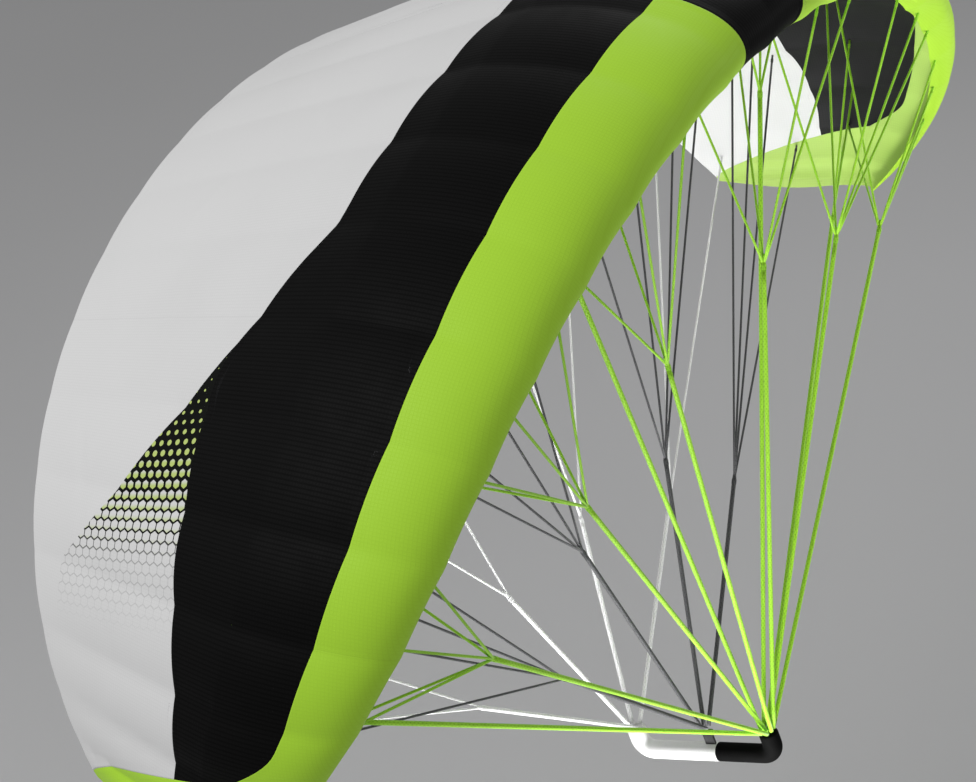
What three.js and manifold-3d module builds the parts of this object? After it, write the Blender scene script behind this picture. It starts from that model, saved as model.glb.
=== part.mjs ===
// A parawing in flight: a single-skin cloth wing, its lines, and the bar that they run to.
// Millimetres. +X is forward, +Y is the left half, +Z is up, and the origin is the middle of the bar.

import * as THREE from "three";
import { mergeVertices } from "three/addons/utils/BufferGeometryUtils.js";
import Module from "manifold-3d";

const wasm = await Module();
wasm.setup();

const { clamp, degToRad, lerp, mapLinear } = THREE.MathUtils;

// Plan and arc of the wing. A span place is 0 at the centre and 1 at a tip, along the cloth.
const HALF_SPAN = 1500;
const CENTRE_CHORD = 1000;
const CHORD_LOSS = 0.33; // share lost with the square of the span place, and again with its sixth power
const TIP_TURN = degToRad(86); // how far the cloth has turned down at the tip
const EVEN_TURN = 0.76; // share of that turn that is even along the span, the rest grows with its cube
const CROWN = { forward: 256, height: 1465 }; // the nose at the centre
const SWEEP = { square: 145, sixth: 206 };
const TRIM = { centre: degToRad(9.4), tip: degToRad(6) }; // how far the trailing edge sits down
const ARC_STEPS = 16;

// Wing section, in chords. A chord place is 0 at the nose and 1 at the trailing edge.
// From 0 to -1 it follows the cloth rolled under the nose, down to its hem.
const CREST = { place: 0.3, height: 0.12, tail: 1.15 };
const ROLL = { back: 0.055, drop: 0.047, tipLoss: 0.75 }; // tipLoss is the share that is lost at the tip
const ROLL_FADE = 8; // power of the span place with which it is lost

// Cells: the span is sewn in strips, narrower towards the tip, and each one fills with air.
const CELLS = 12;
const CELL_SPREAD = 0.2;
const CELL_STEPS = 3;
const BILLOW = 7;
const BILLOW_EDGE = 0.4; // share of the billow that is left at the nose and the trailing edge

// Cloth
const CLOTH = 2;
const SEAM_GAP = 0.5;

// Seams
const NOSE_SEAM = 0.115;
const NOSE_CORNER = { span: 0.04, chord: 0.097, shape: 2.5 }; // the nose seam curves into the tip's seam
const TIP_BAND = { root: 0.1, shape: 0.86, tail: 0.006 };
const TIP_BULGE = 0.014; // how far the tip stands out at the middle of its chord
const LAST_EVEN_CELL = 9; // further out, the columns of cloth lean with the tip band
const LEAN_STEPS = 5;
const TIP_COLUMNS = 2;
const CENTRE_COLUMN = 2; // the dark nose piece ends on this column
const REAR_SEAM = [
  { span: 0, chord: 0.36 },
  { span: 0.4, chord: 0.382 },
  { span: 0.56, chord: 0.52 },
  { span: 0.75, chord: 0.49 },
  { span: 0.92, chord: 0.405 },
  { span: 1, chord: 0.365 },
];
const NOSE_ROWS = [-1, -0.75, -0.5, -0.25, 0, 0.012, 0.045];
const BAND_ROWS = [0, 0.34, 0.67, 1];
const REAR_ROWS = [0, 0.18, 0.38, 0.6, 0.8, 1];

// Bar
const BAR_TILT = degToRad(14.5); // front end up
const GRIP = { radius: 18, reach: 145, bend: 25, rise: 50, split: 25, sides: 16, steps: 20, gap: 0.2 };
const STRAP = { forward: 12, width: 22, thick: 5, depth: 10, clearance: 0.4, eye: 6, sides: 32 };

// Lines
const MAIN_RADIUS = 4.2;
const UPPER_RADIUS = 2.2;
const LINE_SIDES = 8;
const KNOT = 6.5;
const FOOT = 3.4; // round end of a main line, inside its section
const FOOT_GAP = 0.4;
const CLOTH_GAP = 0.4;

// Where the rows of lines stand on the bar, and the chord places where lines are tied to the cloth.
const BAR_TIES = { a: GRIP.reach, b: GRIP.reach, c: STRAP.forward, d: -GRIP.reach };
const CLOTH_TIES = { nose: -0.85, fore: 0.2, crest: 0.3, middle: 0.52, tail: 0.88 };
const SIDES = { right: -1, left: 1 };

// Line plan of one half. along and aside place the foot on its tie, knot is the upper end of the
// main line, and tops are the span places of the upper lines for each row of cloth ties.
const LINES = [
  {
    row: "a", number: 1, along: 11, aside: 4.5, knot: [111, 176, 948],
    tops: { nose: [0.16, 0.26], crest: [0.08, 0.3] },
  },
  {
    row: "a", number: 2, along: 1, aside: 4.7, knot: [112, 459, 859],
    tops: { nose: [0.43, 0.53, 0.6], crest: [0.33, 0.62] },
  },
  {
    row: "a", number: 3, along: 7, aside: 14, knot: [81, 713, 747],
    tops: { nose: [0.7, 0.77, 0.85], crest: [0.66, 0.92] },
  },
  {
    row: "b", number: 1, along: -9, aside: 4.5, knot: [52, 330, 1190],
    tops: { fore: [0.17, 0.27, 0.37] },
  },
  {
    row: "b", number: 2, along: -6, aside: 13.6, knot: [-78, 846, 683],
    tops: { crest: [0.77, 0.86, 0.96] },
  },
  {
    row: "c", number: 1, along: -4.8, aside: 4.5, knot: [-112, 155, 525],
    tops: { middle: [0.08, 0.29, 0.46, 0.55] },
  },
  {
    row: "c", number: 2, along: 4.8, aside: 4.5, knot: [-70, 326, 386],
    tops: { middle: [0.62, 0.7, 0.78, 0.95] },
  },
  {
    row: "d", number: 1, along: -9, aside: 4.5, knot: [-299, 134, 368],
    tops: { tail: [0.18, 0.54] },
  },
  {
    row: "d", number: 2, along: 6.5, aside: 8, knot: [-231, 356, 300],
    tops: { tail: [0.79, 0.96] },
  },
];

// Finishes
const cloth = (color) => new THREE.MeshStandardMaterial({ color, roughness: 0.55, metalness: 0 });
const cord = (color) => new THREE.MeshStandardMaterial({ color, roughness: 0.7, metalness: 0 });
const WHITE_CLOTH = cloth(0xd6d6d6);
const BLACK_CLOTH = cloth(0x161616);
const LIME_CLOTH = cloth(0x9ccb3b);
const LIME_LINE = cord(0x78be14);
const GREY_LINE = cord(0x3a3a3d);
const WHITE_LINE = cord(0xc8c8cd);
const WHITE_GRIP = new THREE.MeshStandardMaterial({ color: 0xebebeb, roughness: 0.45, metalness: 0 });
const BLACK_GRIP = new THREE.MeshStandardMaterial({ color: 0x0c0c0c, roughness: 0.5, metalness: 0 });
const LINE_FINISH = { a: LIME_LINE, b: LIME_LINE, c: GREY_LINE, d: WHITE_LINE };

// Surface of the wing

function turnAt(span) {
  return TIP_TURN * (EVEN_TURN * span + (1 - EVEN_TURN) * span ** 3);
}

// Simpson's rule along the arc, from the centre out to a span place.
function arcAt(span) {
  const step = span / ARC_STEPS;
  let out = 0;
  let down = 0;
  for (let i = 0; i <= ARC_STEPS; i += 1) {
    const end = i === 0 || i === ARC_STEPS;
    const weight = end ? 1 : 2 + 2 * (i % 2);
    out += weight * Math.cos(turnAt(i * step));
    down += weight * Math.sin(turnAt(i * step));
  }
  return { out: (out * step) / 3, down: (down * step) / 3 };
}

function sectionAt(span, chord) {
  if (chord < 0) {
    const turn = (-chord * Math.PI) / 2;
    const kept = 1 - ROLL.tipLoss * span ** ROLL_FADE;
    return { back: kept * ROLL.back * (1 - Math.cos(turn)), rise: -kept * ROLL.drop * Math.sin(turn) };
  }
  if (chord < CREST.place) {
    const ahead = (CREST.place - chord) / CREST.place;
    return { back: chord, rise: CREST.height * Math.sqrt(1 - ahead ** 2) };
  }
  const behind = (chord - CREST.place) / (1 - CREST.place);
  return { back: chord, rise: CREST.height * (1 - behind ** CREST.tail) };
}

function cellSeam(index) {
  const share = index / CELLS;
  return (1 + CELL_SPREAD) * share - CELL_SPREAD * share ** 5;
}

function billowAt(span, chord) {
  const place = Math.min(Math.abs(span), 1);
  let cell = 0;
  while (cell < CELLS - 1 && cellSeam(cell + 1) < place) {
    cell += 1;
  }
  const across = mapLinear(place, cellSeam(cell), cellSeam(cell + 1), -1, 1);
  const along = lerp(BILLOW_EDGE, 1, Math.sin(Math.PI * clamp(chord, 0, 1)));
  return BILLOW * along * (1 - across ** 2);
}

function canopyPoint(span, chord) {
  const square = span ** 2;
  const sixth = span ** 6;
  const size = CENTRE_CHORD * (1 - CHORD_LOSS * (square + sixth));
  const trim = lerp(TRIM.centre, TRIM.tip, square);
  const turn = turnAt(span);
  const arc = arcAt(span);
  const { back, rise } = sectionAt(span, chord);
  const aft = size * (back * Math.cos(trim) + rise * Math.sin(trim));
  const lift = size * (rise * Math.cos(trim) - back * Math.sin(trim)) + billowAt(span, chord);
  return new THREE.Vector3(
    CROWN.forward - SWEEP.square * square - SWEEP.sixth * sixth - aft,
    HALF_SPAN * arc.out + lift * Math.sin(turn),
    CROWN.height - HALF_SPAN * arc.down + lift * Math.cos(turn),
  );
}

function canopyNormal(span, chord) {
  const small = 0.002;
  const across = canopyPoint(span + small, chord).sub(canopyPoint(span - small, chord));
  const back = canopyPoint(span, chord + small).sub(canopyPoint(span, chord - small));
  return across.cross(back).normalize();
}

// Seams of the panels

function rearSeam(column) {
  const place = Math.abs(column);
  const next = REAR_SEAM.findIndex((corner) => corner.span >= place);
  if (next < 1) {
    return REAR_SEAM[0].chord;
  }
  const from = REAR_SEAM[next - 1];
  const to = REAR_SEAM[next];
  return mapLinear(place, from.span, to.span, from.chord, to.chord);
}

function tipSeam(chord) {
  return 1 - TIP_BAND.tail - (TIP_BAND.root - TIP_BAND.tail) * (1 - chord) ** TIP_BAND.shape;
}

function tipEdge(chord) {
  return 1 + TIP_BULGE * Math.sin(Math.PI * clamp(chord, 0, 1));
}

const LEAN_FROM = cellSeam(LAST_EVEN_CELL);
const TIP_COLUMN = tipSeam(NOSE_SEAM);

// How far a column lies into the round corner of the nose seam, from 0 to 1.
function cornerShare(column) {
  return clamp(mapLinear(Math.abs(column), TIP_COLUMN - NOSE_CORNER.span, TIP_COLUMN, 0, 1), 0, 1);
}

function noseSeam(column) {
  return NOSE_SEAM + NOSE_CORNER.chord * cornerShare(column) ** NOSE_CORNER.shape;
}

// A column of cloth keeps its span place up to LEAN_FROM, and then leans with the tip band's seam.
function columnSpan(column, chord) {
  const place = Math.abs(column);
  const seam = tipSeam(Math.max(chord, NOSE_SEAM));
  if (place <= LEAN_FROM) {
    return column;
  }
  if (place <= TIP_COLUMN) {
    return Math.sign(column) * mapLinear(place, LEAN_FROM, TIP_COLUMN, LEAN_FROM, seam);
  }
  return Math.sign(column) * mapLinear(place, TIP_COLUMN, 1, seam, tipEdge(chord));
}

// Columns of one half, from the centre to the tip band's seam.
function halfColumns() {
  const columns = [];
  for (let cell = 0; cell < LAST_EVEN_CELL; cell += 1) {
    for (let step = 0; step < CELL_STEPS; step += 1) {
      columns.push(lerp(cellSeam(cell), cellSeam(cell + 1), step / CELL_STEPS));
    }
  }
  for (let step = 0; step <= LEAN_STEPS; step += 1) {
    columns.push(lerp(LEAN_FROM, TIP_COLUMN, step / LEAN_STEPS));
  }
  return columns;
}

function tipColumns() {
  const steps = Array.from({ length: TIP_COLUMNS + 1 }, (_, i) => i / TIP_COLUMNS);
  return steps.map((share) => lerp(TIP_COLUMN, 1, share));
}

// Columns of a panel from one place to another, its ends drawn in by half a seam gap.
function drawIn(columns, atStart, atEnd) {
  const half = SEAM_GAP / 2 / HALF_SPAN;
  const drawn = [...columns];
  drawn[0] += atStart * half;
  drawn[drawn.length - 1] -= atEnd * half;
  return drawn;
}

// Negative columns run from the tip to the centre, so that a panel's faces point out on both halves.
function onSide(columns, side) {
  return side > 0 ? columns : columns.map((column) => -column).reverse();
}

// Panels

// A box splits the squares of its far face the other way, so the cloth would vary in thickness.
// This splits the inside's squares as the outside's are.
function matchInside(geometry) {
  const { start, count } = geometry.groups.at(-1);
  const corners = geometry.index.array;
  for (let i = start; i < start + count; i += 6) {
    const [a, b, d, , c] = corners.slice(i, i + 6);
    corners.set([a, b, c, a, c, d], i);
  }
}

// A box whose two large faces are the outside and the inside of the cloth.
function clothSheet(columns, rows, chordAt) {
  const geometry = new THREE.BoxGeometry(1, 1, 1, columns.length - 1, rows.length - 1, 1);
  matchInside(geometry);
  const points = geometry.attributes.position;
  for (let i = 0; i < points.count; i += 1) {
    const column = columns[Math.round((points.getX(i) + 0.5) * (columns.length - 1))];
    const row = rows[Math.round((points.getY(i) + 0.5) * (rows.length - 1))];
    const chord = chordAt(column, row);
    const span = columnSpan(column, chord);
    const face = points.getZ(i) * CLOTH;
    const place = canopyPoint(span, chord).addScaledVector(canopyNormal(span, chord), face);
    points.setXYZ(i, place.x, place.y, place.z);
  }
  return bare(geometry);
}

function bare(geometry) {
  geometry.deleteAttribute("normal");
  geometry.deleteAttribute("uv");
  return mergeVertices(geometry);
}

const CHORD_GAP = SEAM_GAP / 2 / CENTRE_CHORD / (1 - CHORD_LOSS);
const CORNER_GAP = 3; // the corner runs aslant, so the gap along the chord is this much wider there
const bandStart = (column) => noseSeam(column) + CHORD_GAP * (1 + CORNER_GAP * cornerShare(column));
const noseChord = (column, row) => (row < NOSE_SEAM ? row : noseSeam(column) - CHORD_GAP);
const bandChord = (column, row) => lerp(bandStart(column), rearSeam(column) - CHORD_GAP, row);
const rearChord = (column, row) => lerp(rearSeam(column) + CHORD_GAP, 1, row);
const tipChord = (column, row) => row;

function namedMesh(name, geometry, material) {
  const mesh = new THREE.Mesh(geometry, material);
  mesh.name = name;
  return mesh;
}

function wing() {
  const group = new THREE.Group();
  const half = halfColumns();
  const noseRows = [...NOSE_ROWS, NOSE_SEAM];
  const centre = half.slice(0, CENTRE_COLUMN + 1);
  const nose = [...half.slice(CENTRE_COLUMN), ...tipColumns().slice(1)];
  const tipRows = [
    ...BAND_ROWS.map((row) => bandChord(TIP_COLUMN, row)),
    ...REAR_ROWS.map((row) => rearChord(TIP_COLUMN, row)),
  ];

  const crossing = drawIn([...onSide(centre.slice(1), -1), ...centre], 1, 1);
  group.add(namedMesh("centre_nose", clothSheet(crossing, noseRows, noseChord), BLACK_CLOTH));
  for (const [name, side] of Object.entries(SIDES)) {
    const broad = onSide(drawIn(half, 1, 1), side);
    const edge = onSide(drawIn(nose, 1, 0), side);
    const tip = onSide(drawIn(tipColumns(), 1, 0), side);
    group.add(namedMesh(`rear_panel_${name}`, clothSheet(broad, REAR_ROWS, rearChord), WHITE_CLOTH));
    group.add(namedMesh(`mid_band_${name}`, clothSheet(broad, BAND_ROWS, bandChord), BLACK_CLOTH));
    group.add(namedMesh(`leading_edge_${name}`, clothSheet(edge, noseRows, noseChord), LIME_CLOTH));
    group.add(namedMesh(`tip_band_${name}`, clothSheet(tip, tipRows, tipChord), LIME_CLOTH));
  }
  return group;
}

// Joining solids

function solidOf(geometry) {
  const closed = bare(geometry);
  return new wasm.Manifold(
    new wasm.Mesh({
      numProp: 3,
      vertProperties: new Float32Array(closed.attributes.position.array),
      triVerts: new Uint32Array(closed.index.array),
    }),
  );
}

function geometryOf(solid) {
  const mesh = solid.getMesh();
  const geometry = new THREE.BufferGeometry();
  geometry.setAttribute("position", new THREE.BufferAttribute(mesh.vertProperties, 3));
  geometry.setIndex(new THREE.BufferAttribute(mesh.triVerts, 1));
  return geometry;
}

function joined(geometries) {
  const solids = geometries.map(solidOf);
  return solids.reduce((whole, solid) => whole.add(solid));
}

// A round bar along a path. A full circle is cut into twice its curveSegments.
function roundBar(path, radius, sides, steps) {
  const section = new THREE.Shape().absarc(0, 0, radius, 0, 2 * Math.PI);
  return new THREE.ExtrudeGeometry(section, { extrudePath: path, curveSegments: sides / 2, steps });
}

// Bar, in its own frame: along the grip is x, and its ends turn up to z

function gripPath(end) {
  const at = (along, rise) => new THREE.Vector3(end * along, 0, rise);
  const { gap, split, reach, bend, rise } = GRIP;
  const path = new THREE.CurvePath();
  path.add(new THREE.LineCurve3(at(end * split + gap, 0), at(reach - bend, 0)));
  path.add(new THREE.QuadraticBezierCurve3(at(reach - bend, 0), at(reach, 0), at(reach, bend)));
  path.add(new THREE.LineCurve3(at(reach, bend), at(reach, rise)));
  return path;
}

const EYE_HEIGHT = GRIP.rise - STRAP.eye;

// Flat webbing that comes up out of the grip, or the slot that it comes out of.
function strapTab(clearance) {
  const low = GRIP.radius - STRAP.depth - clearance;
  const tab = new THREE.BoxGeometry(
    STRAP.width + 2 * clearance,
    STRAP.thick + 2 * clearance,
    EYE_HEIGHT - low,
  );
  return tab.translate(STRAP.forward, 0, (EYE_HEIGHT + low) / 2);
}

function middleStrap() {
  const from = new THREE.Vector3(STRAP.forward - STRAP.width / 2, 0, EYE_HEIGHT);
  const to = new THREE.Vector3(STRAP.forward + STRAP.width / 2, 0, EYE_HEIGHT);
  const eye = roundBar(new THREE.LineCurve3(from, to), STRAP.eye, STRAP.sides, 1);
  return geometryOf(joined([strapTab(0), eye]));
}

function bar() {
  const group = new THREE.Group();
  group.rotation.y = -BAR_TILT;
  const grip = (end) => roundBar(gripPath(end), GRIP.radius, GRIP.sides, GRIP.steps);
  const slotted = solidOf(grip(-1)).subtract(solidOf(strapTab(STRAP.clearance)));
  group.add(namedMesh("bar_grip_rear", geometryOf(slotted), WHITE_GRIP));
  group.add(namedMesh("bar_grip_front", bare(grip(1)), BLACK_GRIP));
  group.add(namedMesh("middle_strap", middleStrap(), BLACK_GRIP));
  return group;
}

// Lines

function ball(radius, centre) {
  const geometry = new THREE.OctahedronGeometry(radius, 1);
  return geometry.translate(centre.x, centre.y, centre.z);
}

function line(from, to, radius) {
  return roundBar(new THREE.LineCurve3(from, to), radius, LINE_SIDES, 1);
}

function footOf(plan, side, turn) {
  const height = GRIP.rise + FOOT_GAP + MAIN_RADIUS;
  const along = BAR_TIES[plan.row] + plan.along;
  return new THREE.Vector3(along, side * plan.aside, height).applyEuler(turn);
}

// Where an upper line meets the cloth that it is tied to, with its square end just clear of the face.
function clothEnd(from, target, cloths) {
  const way = target.clone().sub(from).normalize();
  const meeting = new THREE.Raycaster(from, way).intersectObjects(cloths)[0];
  const facing = Math.abs(way.dot(meeting.face.normal));
  const tilt = Math.sqrt(1 - facing ** 2);
  return meeting.point.addScaledVector(way, -(CLOTH_GAP + UPPER_RADIUS * tilt) / facing);
}

// One main line with its foot and its knot, and the upper lines that spread from the knot.
function cascade(plan, side, turn, cloths) {
  const foot = footOf(plan, side, turn);
  const [forward, out, up] = plan.knot;
  const knot = new THREE.Vector3(forward, side * out, up);
  const targets = Object.entries(plan.tops).flatMap(([row, spans]) =>
    spans.map((span) => canopyPoint(side * span, CLOTH_TIES[row])),
  );
  const uppers = targets.map((target) => line(knot, clothEnd(knot, target, cloths), UPPER_RADIUS));
  return geometryOf(joined([ball(FOOT, foot), line(foot, knot, MAIN_RADIUS), ball(KNOT, knot), ...uppers]));
}

function lines(turn, cloths) {
  const group = new THREE.Group();
  for (const plan of LINES) {
    for (const [name, side] of Object.entries(SIDES)) {
      const geometry = cascade(plan, side, turn, cloths);
      group.add(namedMesh(`line_${plan.row}${plan.number}_${name}`, geometry, LINE_FINISH[plan.row]));
    }
  }
  return group;
}

const parawing = new THREE.Group();
const canopy = wing();
const handle = bar();
parawing.add(canopy, handle, lines(handle.rotation, canopy.children));

export default parawing;
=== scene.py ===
"""A parawing in flight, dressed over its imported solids: cloth panels, lines and the hand bar.

Metres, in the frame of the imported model: +X is forward, +Y is the left half and +Z is up.
The origin is the middle of the bar.
"""

from __future__ import annotations

import functools
import logging
import math
from dataclasses import dataclass, replace
from enum import Enum
from typing import Any, Sequence, Union

import bmesh
import bpy
from bmesh.types import BMEdge, BMesh, BMFace, BMLayerItem, BMVert
from bpy.types import Material, NodeSocket, Object
from mathutils import Color, Matrix, Vector

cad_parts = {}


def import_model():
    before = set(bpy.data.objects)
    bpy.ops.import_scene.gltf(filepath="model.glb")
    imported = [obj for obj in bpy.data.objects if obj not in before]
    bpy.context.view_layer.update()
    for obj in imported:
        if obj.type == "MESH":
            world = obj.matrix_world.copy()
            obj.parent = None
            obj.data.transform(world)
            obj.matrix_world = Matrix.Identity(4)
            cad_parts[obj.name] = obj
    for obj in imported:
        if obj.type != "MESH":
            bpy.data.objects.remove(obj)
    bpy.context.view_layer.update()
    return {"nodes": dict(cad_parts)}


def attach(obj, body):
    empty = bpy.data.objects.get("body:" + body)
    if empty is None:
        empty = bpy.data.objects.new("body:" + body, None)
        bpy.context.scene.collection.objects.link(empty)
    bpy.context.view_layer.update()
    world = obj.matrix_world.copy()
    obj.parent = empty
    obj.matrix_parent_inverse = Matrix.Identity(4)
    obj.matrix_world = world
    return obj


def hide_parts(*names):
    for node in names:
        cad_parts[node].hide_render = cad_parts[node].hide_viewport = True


LOG = logging.getLogger("parawing")
BODY = "root"
CLOTH_UV = "cloth"
HEM = "hem"
CELL = "cell"
MIX_SHARE = 0
MIX_LOW = 6
MIX_HIGH = 7
MIX_RESULT = 2
FULL_TURN = 2 * math.pi
QUARTER_TURN = math.pi / 2

Pair = tuple[float, float]
Triple = tuple[float, float, float]
Number = Union[float, "Shade"]
Colour = tuple[float, float, float, float]
Tint = Union[Colour, "Shade"]


def lerp(low: float, high: float, share: float) -> float:
    """Number that lies at a share of the way from low to high."""
    return low + (high - low) * share


def clamp(value: float) -> float:
    """Number held between 0 and 1."""
    return min(max(value, 0.0), 1.0)


def smooth(low: float, high: float, value: float) -> float:
    """Smooth step from 0 at low to 1 at high."""
    share = clamp((value - low) / (high - low))
    return share * share * (3 - 2 * share)


def paint_colour(red: int, green: int, blue: int) -> Colour:
    """Linear colour, with full alpha, of screen values from 0 to 255."""
    linear = Color((red / 255, green / 255, blue / 255)).from_srgb_to_scene_linear()
    return (linear.r, linear.g, linear.b, 1.0)


class Side(Enum):
    """Half of the wing, as the sign of its Y."""

    RIGHT = -1
    LEFT = 1

    @property
    def word(self) -> str:
        """Half's name as the nodes spell it."""
        return self.name.lower()


# Shader expressions


class Shade:
    """A node socket that takes part in Python expressions."""

    def __init__(self, paint: Paint, socket: NodeSocket) -> None:
        """Wrap a socket of a paint's node tree."""
        self.paint = paint
        self.socket = socket

    def __add__(self, other: Number) -> Shade:
        """Sum."""
        return self.paint.math("ADD", self, other)

    __radd__ = __add__

    def __mul__(self, other: Number) -> Shade:
        """Product."""
        return self.paint.math("MULTIPLY", self, other)

    __rmul__ = __mul__

    def __sub__(self, other: Number) -> Shade:
        """Difference."""
        return self.paint.math("SUBTRACT", self, other)

    def __rsub__(self, other: Number) -> Shade:
        """Difference from a number."""
        return self.paint.math("SUBTRACT", other, self)

    def __truediv__(self, other: Number) -> Shade:
        """Quotient."""
        return self.paint.math("DIVIDE", self, other)

    def __abs__(self) -> Shade:
        """Size without sign."""
        return self.paint.math("ABSOLUTE", self)

    def __lt__(self, other: Number) -> Shade:
        """1 where this is less, else 0."""
        return self.paint.math("LESS_THAN", self, other)

    def __gt__(self, other: Number) -> Shade:
        """1 where this is more, else 0."""
        return self.paint.math("GREATER_THAN", self, other)

    def root(self) -> Shade:
        """Square root."""
        return self.paint.math("SQRT", self)

    def wave(self) -> Shade:
        """Sine of an angle in radians, brought between 0 and 1."""
        return self.paint.math("SINE", self) * 0.5 + 0.5

    def larger(self, other: Number) -> Shade:
        """The larger of two values."""
        return self.paint.math("MAXIMUM", self, other)

    def smaller(self, other: Number) -> Shade:
        """The smaller of two values."""
        return self.paint.math("MINIMUM", self, other)

    def wrap(self, pitch: float) -> Shade:
        """Place within a repeat, from minus half a pitch to plus half a pitch."""
        return (self.paint.math("FRACT", self / pitch) - 0.5) * pitch

    def rise(self, low: float, high: float) -> Shade:
        """Smooth step from 0 at low to 1 at high."""
        sockets = {"Value": self, "From Min": low, "From Max": high}
        return self.paint.node("ShaderNodeMapRange", {"interpolation_type": "SMOOTHSTEP"}, sockets)


class Paint:
    """A material and its node tree."""

    def __init__(self, name: str) -> None:
        """Start an empty material.

        Args:
            name: Its name.
        """
        self.material = bpy.data.materials.new(name)
        self.material.use_nodes = True
        self.tree = self.material.node_tree
        self.tree.nodes.clear()

    def node(
        self,
        kind: str,
        settings: dict[str, Any] | None = None,
        sockets: dict[str | int, Any] | None = None,
        out: int | str = 0,
    ) -> Shade:
        """Add a node.

        Args:
            kind: Blender's name of the node type.
            settings: Properties, set before the sockets.
            sockets: Values or shades of the input sockets.
            out: Output socket to return.

        Returns:
            The chosen output.
        """
        made = self.tree.nodes.new(kind)
        for key, value in (settings or {}).items():
            setattr(made, key, value)
        for key, value in (sockets or {}).items():
            if isinstance(value, Shade):
                self.tree.links.new(value.socket, made.inputs[key])
            else:
                made.inputs[key].default_value = value
        return Shade(self, made.outputs[out])

    def math(self, operation: str, *values: Number) -> Shade:
        """Math node of some values."""
        return self.node("ShaderNodeMath", {"operation": operation}, dict(enumerate(values)))

    def blend(self, share: Number, low: Tint, high: Tint, kind: str = "MIX") -> Shade:
        """Mix of two colours, all low where share is 0."""
        sockets = {MIX_SHARE: share, MIX_LOW: low, MIX_HIGH: high}
        return self.node("ShaderNodeMix", {"data_type": "RGBA", "blend_type": kind}, sockets, MIX_RESULT)

    def scale(self, share: Number, colour: Tint, factor: float) -> Shade:
        """Colour made lighter or darker by a factor, all of it where share is 1."""
        return self.blend(share, colour, (factor, factor, factor, 1.0), "MULTIPLY")

    def split(self, vector: Shade) -> tuple[Shade, Shade]:
        """First two coordinates of a vector."""
        across = self.node("ShaderNodeSeparateXYZ", None, {"Vector": vector}, out="X")
        return across, Shade(self, across.socket.node.outputs["Y"])

    def place(self) -> tuple[Shade, Shade]:
        """Both coordinates of the piece's own UV map."""
        return self.split(self.node("ShaderNodeUVMap", {"uv_map": CLOTH_UV}))

    def spot(self) -> Shade:
        """Place in the object's own coordinates."""
        return self.node("ShaderNodeTexCoord", out="Object")

    def measure(self, name: str) -> Shade:
        """Number that the mesh keeps at its points."""
        return self.node("ShaderNodeAttribute", {"attribute_name": name}, out="Fac")

    def noise(self, scale: float, detail: float) -> Shade:
        """Noise in the object's own coordinates."""
        sockets = {"Vector": self.spot(), "Scale": scale, "Detail": detail}
        return self.node("ShaderNodeTexNoise", None, sockets)

    def bump(self, height: Shade, depth: float, strength: float, over: Shade | None = None) -> Shade:
        """Normal that a height gives.

        Args:
            height: Height in shares of the depth.
            depth: Depth in metres.
            strength: Share of the relief that shows.
            over: Normal of a relief under this one.

        Returns:
            The normal.
        """
        sockets: dict[str, Any] = {"Height": height, "Distance": depth, "Strength": strength}
        if over is not None:
            sockets["Normal"] = over
        return self.node("ShaderNodeBump", None, sockets)

    def finish(self, **sockets: Any) -> Material:
        """Feed the surface and end the material.

        Args:
            sockets: Sockets of the surface, with an underscore for each space in a name.

        Returns:
            The material.
        """
        named = {key.replace("_", " "): value for key, value in sockets.items()}
        surface = self.node("ShaderNodeBsdfPrincipled", None, named)
        end = self.tree.nodes.new("ShaderNodeOutputMaterial")
        self.tree.links.new(surface.socket, end.inputs["Surface"])
        return self.material


# Finishes


@dataclass(frozen=True)
class Mottle:
    """Soft patches: how fine they are, the part of the noise that shows, and how much of it."""

    scale: float
    detail: float
    low: float
    high: float
    weight: float

    def noise(self, paint: Paint) -> Shade:
        """Noise that the patches come from."""
        return paint.noise(self.scale, self.detail)

    def patches(self, noise: Shade) -> Shade:
        """Patches of that noise."""
        return noise.rise(self.low, self.high) * self.weight


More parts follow.
